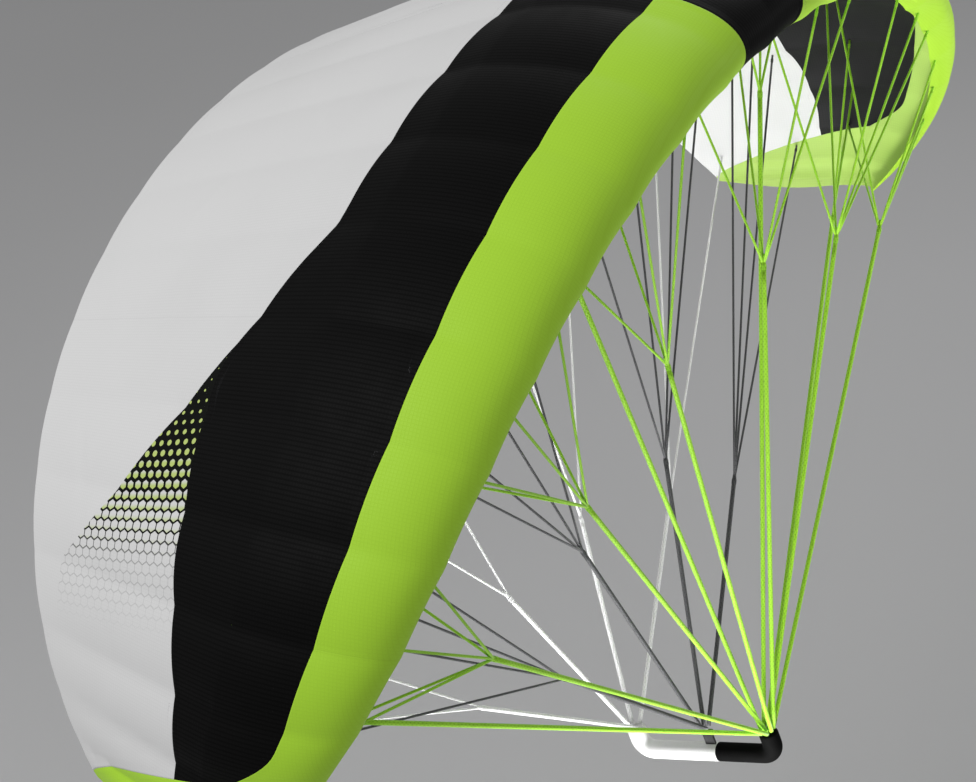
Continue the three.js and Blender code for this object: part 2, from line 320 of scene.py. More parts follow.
@dataclass(frozen=True)
class Ripstop:
    """Coated ripstop cloth with its grid of thick threads, its seams and their stitches."""

    name: str
    colour: Colour
    stitch: Colour
    thread: float = 0.93
    ribs: Pair = (0.005, 0.005)
    cross_share: float = 1.0
    roughness: float = 0.55
    gloss: float = 0.3
    sheen: float = 0.05
    sheen_roughness: float = 0.4
    thread_width: float = 0.0011
    thread_edge: Pair = (0.25, 0.75)
    thread_depth: float = 0.00022
    thread_roughness: float = 0.08
    stitch_rows: Pair = (0.0024, 0.0066)
    stitch_width: float = 0.0005
    stitch_pitch: float = 0.0042
    stitch_share: float = 0.36
    seam_width: float = 0.0014
    seam_shade_share: float = 0.6
    seam_shade: float = 0.88
    wear: Mottle = Mottle(3.5, 4.0, 0.35, 0.7, 0.4)
    wear_tone: float = 0.93
    thread_rise: float = 0.4
    stitch_rise: float = 1.2
    seam_drop: float = 0.8
    weave_strength: float = 0.7
    crinkle: float = 0.0004
    crinkle_noise: Pair = (26.0, 3.0)
    crinkle_strength: float = 0.5
    crinkle_roughness: float = 0.12

    def ground(self, paint: Paint, span: Shade, aft: Shade) -> Tint:
        """Colour of the cloth under its threads."""
        return self.colour

    def make(self) -> Material:
        """Build the material.

        Returns:
            Material that reads the cloth's UV map and the distances kept in its mesh.
        """
        paint = Paint(self.name)
        span, aft = paint.place()
        hem = paint.measure(HEM)
        seam = 1 - abs(paint.measure(CELL)).rise(0.0, self.seam_width)
        edge = [self.thread_width * share for share in self.thread_edge]
        across, along = (1 - abs(way.wrap(rib)).rise(*edge) for way, rib in zip((span, aft), self.ribs))
        threads = across.larger(along * self.cross_share)
        dash = abs((span + aft).wrap(self.stitch_pitch)) < self.stitch_pitch * self.stitch_share
        near, far = (abs(hem - row) < self.stitch_width for row in self.stitch_rows)
        stitches = near.larger(far) * dash
        wear = self.wear.patches(self.wear.noise(paint))
        worn = paint.scale(wear, self.ground(paint, span, aft), self.wear_tone)
        woven = paint.scale(threads, worn, self.thread)
        # Painted shade: the cloth is darkened along each cell seam, in the groove that the relief gives
        # there.
        seam_shaded = paint.scale(seam * self.seam_shade_share, woven, self.seam_shade)
        crinkles = paint.noise(*self.crinkle_noise)
        relief = threads * self.thread_rise + stitches * self.stitch_rise - seam * self.seam_drop
        weave = paint.bump(relief, self.thread_depth, self.weave_strength)
        uneven = (crinkles - 0.5) * self.crinkle_roughness + threads * self.thread_roughness
        return paint.finish(
            Base_Color=paint.blend(stitches, seam_shaded, self.stitch),
            Roughness=self.roughness + uneven,
            Normal=paint.bump(crinkles, self.crinkle, self.crinkle_strength, weave),
            Specular_IOR_Level=self.gloss,
            Sheen_Weight=self.sheen,
            Sheen_Roughness=self.sheen_roughness,
        )


@dataclass(frozen=True)
class HoneycombRipstop(Ripstop):
    """White ripstop with a dark corner that breaks up into a honeycomb and fades out.

    The honeycomb leans a little to the wing's own axes, and its rear edge runs forward of the
    panel's corner and slants aft on its way out to the tip. A share runs from 0, where the first
    dots open, to 1, where the last lines have faded.
    """

    dark: Colour = paint_colour(1, 3, 0)
    tint: Colour = paint_colour(196, 214, 124)
    hexagon: float = 0.01734
    stretch: float = 1.05
    row_lean: float = 0.1465
    file_lean: float = 0.06
    slant_weight: float = 1.06
    cell_middle: Pair = (0.914, -0.3173)
    start: Pair = (0.8, -0.25)
    edge: Triple = (0.008, -0.7, -0.22)
    solid: float = 0.05
    length: float = 0.385
    reach: float = 0.285
    first_share: float = -0.3
    dot_to_hexagon: Pair = (0.12, 0.4)
    young_cell: Pair = (0.2, 1.44)
    grown_cell: Pair = (0.66, 0.42)
    full_cell: float = 0.94
    line_blur: float = 0.03
    line_fades: tuple[Triple, ...] = ((0.74, 0.55, 0.68), (0.26, 0.68, 0.95))
    tint_level: Pair = (1.075, -2.1)
    tint_blur: float = 0.5
    tint_fade: Pair = (0.36, 0.68)

    @property
    def file_step(self) -> float:
        """Way along the cloth for each step across the files."""
        return math.hypot(1.0, self.file_lean) * self.stretch

    def lattice(self, out: Number, aft: Number) -> tuple[Number, Number]:
        """Place on the honeycomb, from the middle of one cell.

        Args:
            out: Distance out from the centre along the cloth.
            aft: Distance forward of the bar.

        Returns:
            Ways across the rows and across the files.
        """
        out_by, aft_by = out - self.cell_middle[0], aft - self.cell_middle[1]
        row = (out_by + aft_by * self.row_lean) / math.hypot(1.0, self.row_lean)
        file = (aft_by - out_by * self.file_lean) / self.file_step
        return row, file

    def nearest_cell(self, row: Shade, file: Shade) -> tuple[Shade, Shade]:
        """Place within the nearest cell.

        Args:
            row: Way across the rows.
            file: Way across the files.

        Returns:
            Ways off the cell's middle, across the files and across the rows.
        """
        wide, tall = self.hexagon, self.hexagon * math.sqrt(3)
        one_x, one_y = (file + wide / 2).wrap(wide), (row + tall / 2).wrap(tall)
        two_x, two_y = file.wrap(wide), row.wrap(tall)
        nearer = one_x * one_x + one_y * one_y < two_x * two_x + two_y * two_y
        return two_x + (one_x - two_x) * nearer, two_y + (one_y - two_y) * nearer

    def cell_colour(self, paint: Paint, off_x: Shade, off_y: Shade, share: Shade) -> Shade:
        """Colour within a cell: a line that fades, round a fill that is green at first.

        Args:
            paint: Material under way.
            off_x: Way off the cell's middle, across the files.
            off_y: Way off the cell's middle, across the rows.
            share: Share of the print's length.

        Returns:
            Colour that varies with them.
        """
        slant = (abs(off_x) * 0.5 + abs(off_y) * (math.sqrt(3) / 2)) * self.slant_weight
        circle = (off_x * off_x + off_y * off_y).root()
        corners_out = (abs(off_x).larger(slant) - circle) * share.rise(*self.dot_to_hexagon)
        off = (circle + corners_out) / (self.hexagon / 2)
        young, grown = (first + growth * share for first, growth in (self.young_cell, self.grown_cell))
        line = (off - young.smaller(grown).smaller(self.full_cell)).rise(-self.line_blur, self.line_blur)
        ink = 1.0
        for weight, first, last in self.line_fades:
            ink = ink - weight * share.rise(first, last)
        level, fall = self.tint_level
        low_part = (off_y / self.hexagon + fall * share + level).rise(0.0, self.tint_blur)
        green = low_part * (1 - share.rise(*self.tint_fade))
        filled = paint.blend(green, self.colour, self.tint)
        return paint.blend(line, filled, paint.blend(ink, self.colour, self.dark))

    def ground(self, paint: Paint, span: Shade, aft: Shade) -> Tint:
        """Colour of the cloth, with the honeycomb print.

        Args:
            paint: Material under way.
            span: Distance out from the centre along the cloth, signed.
            aft: Distance forward of the bar.

        Returns:
            Colour that varies with both.
        """
        out = abs(span)
        row, file = self.lattice(out, aft)
        off_x, off_y = self.nearest_cell(row, file)
        first_row, first_file = self.lattice(*self.start)
        share = (row - off_y - (first_row + self.solid)) / self.length
        ahead, slope, bend = self.edge
        past = out - self.start[0]
        rear_edge = self.start[1] + ahead + past * (slope + past * bend)
        inside = (aft > rear_edge) * (file > first_file - self.reach / self.file_step)
        printed = inside * (share > self.first_share) * (share < 1.0)
        return paint.blend(printed, self.colour, self.cell_colour(paint, off_x, off_y, share))


@dataclass(frozen=True)
class Braid:
    """Braided line with crossing strands."""

    name: str
    colour: Colour
    shadow: Colour
    strands: int = 4
    lay: float = 0.009
    depth: float = 0.0004
    strength: float = 0.8
    gap: Pair = (0.1, 0.6)
    gap_shade: float = 0.6
    gap_roughness: float = 0.2
    wear: Mottle = Mottle(60.0, 2.0, 0.5, 0.8, 0.2)
    roughness: float = 0.62
    sheen: float = 0.2

    def make(self) -> Material:
        """Build the material.

        Returns:
            Material that reads the line's UV map, round it and along it.
        """
        paint = Paint(self.name)
        around, along = paint.place()
        turn = around * (FULL_TURN * self.strands)
        climb = along * (FULL_TURN / self.lay)
        strands = (turn + climb).wave().larger((turn - climb).wave())
        wear = self.wear.patches(self.wear.noise(paint))
        # Painted shade in the gaps between strands, where the relief is low, plus real worn patches; both
        # darken towards the shadow colour.
        dark = (1 - strands.rise(*self.gap)) * self.gap_shade + wear
        return paint.finish(
            Base_Color=paint.blend(dark, self.colour, self.shadow),
            Roughness=self.roughness + dark * self.gap_roughness,
            Normal=paint.bump(strands, self.depth, self.strength),
            Sheen_Weight=self.sheen,
        )


@dataclass(frozen=True)
class Foam:
    """Closed-cell foam grip with a fine skin."""

    name: str
    colour: Colour
    pore: Colour
    roughness: float
    gloss: float
    pores: Mottle = Mottle(900.0, 3.0, 0.52, 0.7, 0.6)
    rub: Mottle = Mottle(22.0, 3.0, 0.5, 0.8, 0.25)
    rub_roughness: float = 0.2
    depth: float = 0.0004
    strength: float = 0.6

    def make(self) -> Material:
        """Build the material.

        Returns:
            Material with fine pores, darkened by painted shade, and rubbed patches.
        """
        paint = Paint(self.name)
        pores, rubbed = self.pores.noise(paint), self.rub.noise(paint)
        # Painted shade darkens the pores, where the relief dips, and real rubbed patches darken as well,
        # both towards the darker colour.
        deep = self.pores.patches(pores) + self.rub.patches(rubbed)
        return paint.finish(
            Base_Color=paint.blend(deep, self.colour, self.pore),
            Roughness=self.roughness + rubbed * self.rub_roughness,
            Normal=paint.bump(1 - pores, self.depth, self.strength),
            Specular_IOR_Level=self.gloss,
        )


@dataclass(frozen=True)
class Webbing:
    """Flat woven strap with ribs across its width."""

    name: str
    colour: Colour
    rib: Colour
    pitch: float = 0.0016
    rib_share: float = 0.5
    fuzz: Pair = (300.0, 3.0)
    fuzz_share: float = 0.3
    fuzz_roughness: float = 0.2
    roughness: float = 0.7
    depth: float = 0.0004
    strength: float = 0.8

    def make(self) -> Material:
        """Build the material.

        Returns:
            Material with ribs along X, their crests lighter with a painted highlight.
        """
        paint = Paint(self.name)
        ribs = (paint.split(paint.spot())[0] * (FULL_TURN / self.pitch)).wave()
        fuzz = paint.noise(*self.fuzz)
        # Painted highlight: the rib crests, where the relief is high, are lighter, and real fuzz varies
        # the tone at random.
        light = ribs * self.rib_share + fuzz * self.fuzz_share
        return paint.finish(
            Base_Color=paint.blend(light, self.colour, self.rib),
            Roughness=self.roughness + fuzz * self.fuzz_roughness,
            Normal=paint.bump(ribs, self.depth, self.strength),
        )


@dataclass(frozen=True)
class Backdrop:
    """Plain pale floor."""

    name: str
    colour: Colour
    cloud: Pair = (0.6, 2.0)
    cloud_share: float = 0.06
    roughness: float = 0.9

    def make(self) -> Material:
        """Build the material.

        Returns:
            Material with faint clouds.
        """
        paint = Paint(self.name)
        clouds = paint.noise(*self.cloud) * self.cloud_share
        colour = paint.blend(clouds, self.colour, paint_colour(0, 0, 0))
        return paint.finish(Base_Color=colour, Roughness=self.roughness)


# Meshes


def link_object(name: str, mesh: BMesh, materials: Sequence[Material]) -> Object:
    """Make an object at the origin from a finished bmesh.

    Args:
        name: Name of the object.
        mesh: Finished shape, freed here.
        materials: Materials in the order of their slots.

    Returns:
        The linked object.
    """
    data = bpy.data.meshes.new(name)
    mesh.to_mesh(data)
    mesh.free()
    for material in materials:
        data.materials.append(material)
    made = bpy.data.objects.new(name, data)
    bpy.context.scene.collection.objects.link(made)
    return made


def new_piece(name: str, mesh: BMesh, materials: Sequence[Material], node: str, slot: str) -> Object:
    """Make a smooth piece of the part.

    Args:
        name: Name of the piece.
        mesh: Finished shape, freed here.
        materials: Materials in the order of their slots.
        node: CAD node that it stands for.
        slot: Slot of the record; not used.

    Returns:
        The piece, which rides on the part's one body.
    """
    piece = link_object(name, mesh, materials)
    piece.data.polygons.foreach_set("use_smooth", [True] * len(piece.data.polygons))
    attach(piece, BODY)
    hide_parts(node)
    return piece


def edges_of(verts: Sequence[BMVert]) -> list[BMEdge]:
    """Edges that meet some points."""
    return list({edge for vert in verts for edge in vert.link_edges})


def verts_of(edges: Sequence[BMEdge]) -> list[BMVert]:
    """Points of some edges."""
    return list({vert for edge in edges for vert in edge.verts})


def extrude_ring(mesh: BMesh, ring: Sequence[BMEdge], move: Vector) -> list[BMEdge]:
    """Extrude a ring of edges.

    Args:
        mesh: Shape under way.
        ring: Edges of the open end.
        move: How far the new end stands off.

    Returns:
        Edges of the new end.
    """
    made = bmesh.ops.extrude_edge_only(mesh, edges=ring)["geom"]
    edges = [item for item in made if isinstance(item, BMEdge)]
    bmesh.ops.translate(mesh, verts=verts_of(edges), vec=move)
    return edges


def round_edges(mesh: BMesh, edges: Sequence[BMEdge], offset: float, segments: int) -> None:
    """Bevel some edges to a round.

    Args:
        mesh: Shape under way.
        edges: Edges to round.
        offset: Width of the round on each side.
        segments: Faces across it.
    """
    bmesh.ops.bevel(
        mesh,
        geom=edges,
        offset=offset,
        affect="EDGES",
        segments=segments,
        profile=0.5,
        material=-1,
    )


def wrap_round(mesh: BMesh, faces: Sequence[BMFace]) -> None:
    """Give faces round the Z axis a UV map: turns round it, and metres along it.

    Args:
        mesh: Shape under way.
        faces: Faces to map.
    """
    layer = mesh.loops.layers.uv.get(CLOTH_UV) or mesh.loops.layers.uv.new(CLOTH_UV)
    for face in faces:
        turns = [math.atan2(loop.vert.co.y, loop.vert.co.x) / FULL_TURN for loop in face.loops]
        split = max(turns) - min(turns) > 0.5
        for loop, turn in zip(face.loops, turns):
            shift = 1.0 if split and turn < 0 else 0.0
            loop[layer].uv = (turn + shift, loop.vert.co.z)


def settle(mesh: BMesh, verts: Sequence[BMVert], start: Vector, way: Vector) -> None:
    """Finish a shape built along Z, and lay it along a line.

    Args:
        mesh: Shape under way.
        verts: Points of the shape.
        start: Where its origin goes.
        way: Direction that its Z takes.
    """
    faces = list({face for vert in verts for face in vert.link_faces})
    bmesh.ops.recalc_face_normals(mesh, faces=faces)
    wrap_round(mesh, faces)
    turn = Vector((0, 0, 1)).rotation_difference(way).to_matrix().to_4x4()
    bmesh.ops.transform(mesh, matrix=Matrix.Translation(start) @ turn, verts=verts)


def add_tube(
    mesh: BMesh,
    ends: tuple[Vector, Vector],
    radii: Pair,
    sides: int,
    steps: int,
) -> None:
    """Add a straight closed tube, which may taper.

    Args:
        mesh: Shape that it goes into.
        ends: Middles of its first and last end.
        radii: Radius at its first and last end.
        sides: Sides of its section.
        steps: Lengths that it is cut into.
    """
    low, high = ends
    start = bmesh.ops.create_circle(mesh, cap_ends=True, segments=sides, radius=radii[0])["verts"]
    ring = edges_of(start)
    verts = set(start)
    rise = Vector((0, 0, (high - low).length / steps))
    widths = [lerp(*radii, step / steps) for step in range(steps + 1)]
    for narrow, wide in zip(widths[1:], widths):
        ring = extrude_ring(mesh, ring, rise)
        tip = verts_of(ring)
        bmesh.ops.scale(mesh, vec=(narrow / wide, narrow / wide, 1.0), verts=tip)
        verts.update(tip)
    bmesh.ops.contextual_create(mesh, geom=ring)
    settle(mesh, list(verts), low, high - low)


def add_coil(
    mesh: BMesh,
    middle: Vector,
    way: Vector,
    radius: float,
    wire: float,
    turns: int,
    sides: int = 8,
    turn_steps: int = 14,
) -> None:
    """Add a whipping: a round thread wound about a line.

    Args:
        mesh: Shape that it goes into.
        middle: Middle of the whipping.
        way: Direction of the line.
        radius: Radius at the middle of the thread.
        wire: Radius of the thread.
        turns: Number of turns.
        sides: Sides of the thread's section.
        turn_steps: Lengths that a turn is cut into.
    """
    before = set(mesh.verts)
    place = Matrix.Translation((radius, 0, -turns * wire)) @ Matrix.Rotation(QUARTER_TURN, 4, "X")
    made = bmesh.ops.create_circle(mesh, cap_ends=True, segments=sides, radius=wire, matrix=place)
    cap = made["verts"][0].link_faces[0]
    steps = turns * turn_steps
    bmesh.ops.spin(
        mesh,
        geom=[cap, *cap.edges, *cap.verts],
        cent=(0, 0, 0),
        axis=(0, 0, 1),
        dvec=(0, 0, 2 * turns * wire / steps),
        angle=FULL_TURN * turns,
        steps=steps,
        use_merge=False,
        use_duplicate=False,
    )
    settle(mesh, [vert for vert in mesh.verts if vert not in before], middle, way)


# Wing


@dataclass(frozen=True)
class Crease:
    """A soft wrinkle in the cloth, by its middle, its direction, its size and its height."""

    span: float
    aft: float
    turn: float
    length: float
    width: float
    height: float

    def lift(self, span: float, aft: float) -> float:
        """Height of the wrinkle at a place.

        Args:
            span: Distance out from the centre along the cloth, signed.
            aft: Distance forward of the bar.

        Returns:
            The height in metres.
        """
        along_x, along_y = math.cos(self.turn), math.sin(self.turn)
        off_x, off_y = span - self.span, aft - self.aft
        along = (off_x * along_x + off_y * along_y) / self.length
        across = (off_y * along_x - off_x * along_y) / self.width
        return self.height * math.exp(-along * along - across * across)

    def on(self, side: Side, further: float) -> Crease:
        """The same wrinkle on one half of the wing, a little further out."""
        return replace(self, span=side.value * (self.span + further), turn=side.value * self.turn)


REAR_CREASES = (
    Crease(0.35, -0.34, 0.2, 0.09, 0.012, 0.0014),
    Crease(0.52, -0.49, -0.3, 0.07, 0.01, 0.0012),
    Crease(0.74, -0.43, 0.15, 0.06, 0.011, 0.0013),
    Crease(0.98, -0.53, 0.4, 0.08, 0.012, -0.0013),
    Crease(1.12, -0.51, -0.15, 0.06, 0.009, 0.0012),
    Crease(1.2, -0.37, 0.1, 0.05, 0.009, 0.0011),
    Crease(0.14, -0.59, 0.5, 0.08, 0.014, 0.0012),
)


@dataclass(frozen=True)
class WingForm:
    """Surface of the wing, by a span place from 0 to 1 and a chord place from -1 to 1.

    A chord place below 0 lies on the part of the nose that is rolled under. A column is a span
    place at the nose, which leans with the tip band further aft.
    """

    half_span: float = 1.5
    centre_chord: float = 1.0
    chord_loss: float = 0.33
    tip_turn: float = math.radians(86)
    even_turn: float = 0.76
    turn_power: int = 3
    crown: Pair = (0.256, 1.465)
    sweep: Pair = (0.145, 0.206)
    tip_power: int = 6
    trim: Pair = (math.radians(9.4), math.radians(6))
    crest: Triple = (0.3, 0.12, 1.15)
    roll: Pair = (0.055, 0.047)
    roll_loss: float = 0.75
    roll_fade: int = 8
    cells: int = 12
    cell_spread: float = 0.2
    spread_power: int = 5
    billow: float = 0.0065
    billow_edges: Pair = (0.7, 0.25)
    nose_seam: float = 0.115
    nose_corner: Triple = (0.04, 0.097, 2.5)
    tip_band: Triple = (0.1, 0.86, 0.006)
    tip_bulge: float = 0.014
    last_even_cell: int = 9
    arc_steps: int = 16
    probe: float = 0.002
    ease: tuple[float, ...] = (-0.025, -0.0125, 0.0, 0.0125, 0.025)
    seam_corners: tuple[Pair, ...] = (
        (0.0, 0.36),
        (0.4, 0.382),
        (0.56, 0.52),
        (0.75, 0.49),
        (0.92, 0.405),
        (1.0, 0.365),
    )

    def turn(self, span: float) -> float:
        """How far the cloth has turned down at a span place."""
        return self.tip_turn * lerp(span**self.turn_power, span, self.even_turn)

    @functools.lru_cache(maxsize=None)
    def arc(self, span: float) -> Pair:
        """Way along the arc to a span place, by Simpson's rule.

        Args:
            span: Span place.

        Returns:
            Ways out and down, in half spans.
        """
        step = span / self.arc_steps
        out = down = 0.0
        for index in range(self.arc_steps + 1):
            weight = 1 if index in (0, self.arc_steps) else 2 + 2 * (index % 2)
            out += weight * math.cos(self.turn(index * step))
            down += weight * math.sin(self.turn(index * step))
        return out * step / 3, down * step / 3

    def section(self, span: float, chord: float) -> Pair:
        """Section of the wing.

        Args:
            span: Span place, which the nose's roll fades with.
            chord: Chord place.

        Returns:
            Way back and rise, in chords.
        """
        place, height, tail = self.crest
        if chord < 0:
            angle = -chord * QUARTER_TURN
            kept = 1 - self.roll_loss * span**self.roll_fade
            return kept * self.roll[0] * (1 - math.cos(angle)), -kept * self.roll[1] * math.sin(angle)
        if chord < place:
            return chord, height * math.sqrt(1 - ((place - chord) / place) ** 2)
        return chord, height * (1 - ((chord - place) / (1 - place)) ** tail)

    def cell_seam(self, index: int) -> float:
        """Span place of a seam between cells."""
        share = index / self.cells
        return (1 + self.cell_spread) * share - self.cell_spread * share**self.spread_power

    @functools.lru_cache(maxsize=None)
    def cell_place(self, span: float) -> Pair:
        """Place within a cell.

        Args:
            span: Span place.

        Returns:
            Place across the cell, from -1 to 1, and the distance to its nearer seam in metres.
        """
        place = min(abs(span), 1.0)
        cell = 0
        while cell < self.cells - 1 and self.cell_seam(cell + 1) < place:
            cell += 1
        low, high = self.cell_seam(cell), self.cell_seam(cell + 1)
        off = min(place - low, high - place) * self.half_span
        return 2 * (place - low) / (high - low) - 1, off

    def bulge(self, span: float, chord: float) -> float:
        """Height that the air in a cell gives the cloth.

        Args:
            span: Span place.
            chord: Chord place.

        Returns:
            The height in metres.
        """
        across = self.cell_place(span)[0]
        back = clamp(chord)
        edge = lerp(*self.billow_edges, back)
        return self.billow * lerp(edge, 1, math.sin(math.pi * back)) * (1 - across * across)

    def point(self, span: float, chord: float) -> Vector:
        """Point of the cloth's middle surface.

        Args:
            span: Span place, below 0 on the right half.
            chord: Chord place.

        Returns:
            The point.
        """
        square, late = span**2, span**self.tip_power
        size = self.centre_chord * (1 - self.chord_loss * (square + late))
        trim = lerp(*self.trim, square)
        turn = self.turn(span)
        out, down = self.arc(span)
        back, rise = self.section(span, chord)
        aft = size * (back * math.cos(trim) + rise * math.sin(trim))
        lift = size * (rise * math.cos(trim) - back * math.sin(trim)) + self.bulge(span, chord)
        forward = self.crown[0] - self.sweep[0] * square - self.sweep[1] * late - aft
        aside = self.half_span * out + lift * math.sin(turn)
        up = self.crown[1] - self.half_span * down + lift * math.cos(turn)
        return Vector((forward, aside, up))

    def normal(self, span: float, chord: float) -> Vector:
        """Outward direction of the cloth.

        Args:
            span: Span place, below 0 on the right half.
            chord: Chord place.

        Returns:
            The direction, one metre long.
        """
        across = self.point(span + self.probe, chord) - self.point(span - self.probe, chord)
        back = self.point(span, chord + self.probe) - self.point(span, chord - self.probe)
        return across.cross(back).normalized()

    def seam_at(self, column: float) -> float:
        """Straight run of the seam between the dark band and the rear panel.

        Args:
            column: Column of cloth, from 0.

        Returns:
            Its chord place.
        """
        for (low, first), (high, last) in zip(self.seam_corners, self.seam_corners[1:]):
            if column <= high:
                return lerp(first, last, (column - low) / (high - low))
        return self.seam_corners[-1][1]

    def rear_seam(self, column: float) -> float:
        """Chord place of that seam with its corners eased, as a sewn curve runs."""
        places = [self.seam_at(max(abs(column) + shift, 0.0)) for shift in self.ease]
        return sum(places) / len(places)

    def tip_seam(self, chord: float) -> float:
        """Span place of the tip band's seam."""
        root, shape, tail = self.tip_band
        return 1 - tail - (root - tail) * max(1 - chord, 0.0) ** shape

    @property
    def lean_from(self) -> float:
        """Column from which the cloth leans with the tip band."""
        return self.cell_seam(self.last_even_cell)

    @property
    def tip_column(self) -> float:
        """Column of the tip band's seam."""
        return self.tip_seam(self.nose_seam)

    def tip_edge(self, chord: float) -> float:
        """Span place of the tip's own edge."""
        return 1 + self.tip_bulge * math.sin(math.pi * clamp(chord))

    def nose_line(self, column: float) -> float:
        """Rear seam of the nose panel, which curves into the tip band's seam.

        Args:
            column: Column of cloth.

        Returns:
            Its chord place.
        """
        reach, depth, shape = self.nose_corner
        past = (abs(column) - self.tip_column + reach) / reach
        return self.nose_seam + depth * clamp(past) ** shape

    def column_span(self, column: float, chord: float) -> float:
        """Span place of a column of cloth.

        Args:
            column: Column, below 0 on the right half.
            chord: Chord place.

        Returns:
            The span place, with the column's sign.
        """
        place, sign = abs(column), math.copysign(1.0, column)
        seam = self.tip_seam(max(chord, self.nose_seam))
        if place <= self.lean_from:
            return column
        if place <= self.tip_column:
            share = (place - self.lean_from) / (self.tip_column - self.lean_from)
            return sign * lerp(self.lean_from, seam, share)
        share = (place - self.tip_column) / (1 - self.tip_column)
        return sign * lerp(seam, self.tip_edge(chord), share)


class Cut(Enum):
    """How a panel's rows run along the chord."""

    NOSE = "nose"
    BAND = "band"
    REAR = "rear"
    TIP = "tip"


@dataclass(frozen=True)
class Flat:
    """A panel before it is sewn: its greatest width and length, and its area."""

    width: float
    length: float
    area: float


@dataclass
class Panel:
    """One cut piece of cloth, with its hems and seams."""

    name: str
    cut: Cut
    ends: Pair
    slot: str
    flat: Flat
    creases: tuple[Crease, ...]
    finishes: tuple[Material, Material]
    form: WingForm
    mesh_size: float = 0.0075
    hem_width: float = 0.009
    hem_step: float = 0.0012
    thickness: float = 0.002
    cloth_share: float = 0.6

    def chord(self, column: float, row: float) -> float:
        """Chord place of a row on a column.

        Args:
            column: Column of cloth.
            row: Row, from 0 to 1.

        Returns:
            The chord place.
        """
        form = self.form
        if self.cut is Cut.NOSE:
            way = 2 * row - 1
            return way if way < 0 else form.nose_line(column) * way * way
        if self.cut is Cut.BAND:
            return lerp(form.nose_line(column), form.rear_seam(column), row)
        if self.cut is Cut.REAR:
            return lerp(form.rear_seam(column), 1.0, row)
        return lerp(form.nose_line(form.tip_column), 1.0, row)

    def shares(self, length: float) -> list[float]:
        """Places of the mesh's lines, with a step at each hem.

        Args:
            length: Length that the lines divide.

        Returns:
            Shares of the length, from 0 to 1.
        """
        rim = [0.0, self.hem_step, self.hem_width - self.hem_step, self.hem_width]
        inner = max(round((length - 2 * self.hem_width) / self.mesh_size), 2)
        middle = [lerp(self.hem_width, length - self.hem_width, step / inner) for step in range(1, inner)]
        places = [*rim, *middle, *[length - place for place in reversed(rim)]]
        return [place / length for place in places]

    def build(self) -> Object:
        """Build the panel.

        Returns:
            Sheet with a live thickness, standing for its CAD node.
        """
        form = self.form
        first, last = self.ends
        columns = [lerp(first, last, share) for share in self.shares((last - first) * form.half_span)]
        rows = self.shares(self.flat.length)
        wide, tall = len(columns) - 1, len(rows) - 1
        mesh = bmesh.new()
        bmesh.ops.create_grid(mesh, x_segments=wide, y_segments=tall, size=0.5)
        uv = mesh.loops.layers.uv.new(CLOTH_UV)
        hem = mesh.verts.layers.float.new(HEM)
        cell = mesh.verts.layers.float.new(CELL)
        spots: dict[BMVert, Pair] = {}
        grid: dict[tuple[int, int], BMVert] = {}
        for vert in mesh.verts:
            at = (round((vert.co.x + 0.5) * wide), round((vert.co.y + 0.5) * tall))
            grid[at] = vert
            chord = self.chord(columns[at[0]], rows[at[1]])
            span = form.column_span(columns[at[0]], chord)
            place = form.point(span, chord)
            out = span * form.half_span
            lift = sum(crease.lift(out, place.x) for crease in self.creases)
            spots[vert] = (out, place.x)
            vert[cell] = form.cell_place(span)[1]
            vert.co = place + form.normal(span, chord) * lift
        lines = [[grid[i, j] for i in range(wide + 1)] for j in range(tall + 1)]
        lines += [[grid[i, j] for j in range(tall + 1)] for i in range(wide + 1)]
        self.measure_hems(lines, hem)
        for face in mesh.faces:
            for loop in face.loops:
                loop[uv].uv = spots[loop.vert]
        mesh.normal_update()
        distances = [vert[hem] for vert in mesh.verts]
        piece = new_piece(f"sewn_{self.name}", mesh, self.finishes, self.name, self.slot)
        self.thicken(piece, distances)
        return piece

    @staticmethod
    def measure_hems(lines: Sequence[Sequence[BMVert]], layer: BMLayerItem) -> None:
        """Keep each point's distance to the nearest edge, measured along the mesh.

        Args:
            lines: Points of each row and each column, in order.
            layer: Where the distance is kept.
        """
        for vert in {vert for line in lines for vert in line}:
            vert[layer] = 1.0
        for line in lines:
            for ordered in (line, line[::-1]):
                way = 0.0
                last = ordered[0]
                for vert in ordered:
                    way += (vert.co - last.co).length
                    vert[layer] = min(vert[layer], way)
                    last = vert

    def thicken(self, piece: Object, distances: Sequence[float]) -> None:
        """Give the sheet its thickness, full where the cloth is folded over at a hem.

        Args:
            piece: The sheet.
            distances: Distance of each point to the nearest edge.
        """
        group = piece.vertex_groups.new(name=HEM)
        for index, distance in enumerate(distances):
            weight = 1 - smooth(self.hem_width - self.hem_step, self.hem_width, distance)
            if weight > 0:
                group.add([index], weight, "REPLACE")
        solid = piece.modifiers.new("cloth", "SOLIDIFY")
        solid.thickness = self.thickness
        solid.offset = 0.0
        solid.vertex_group = HEM
        solid.thickness_vertex_group = self.cloth_share
        solid.material_offset = 1


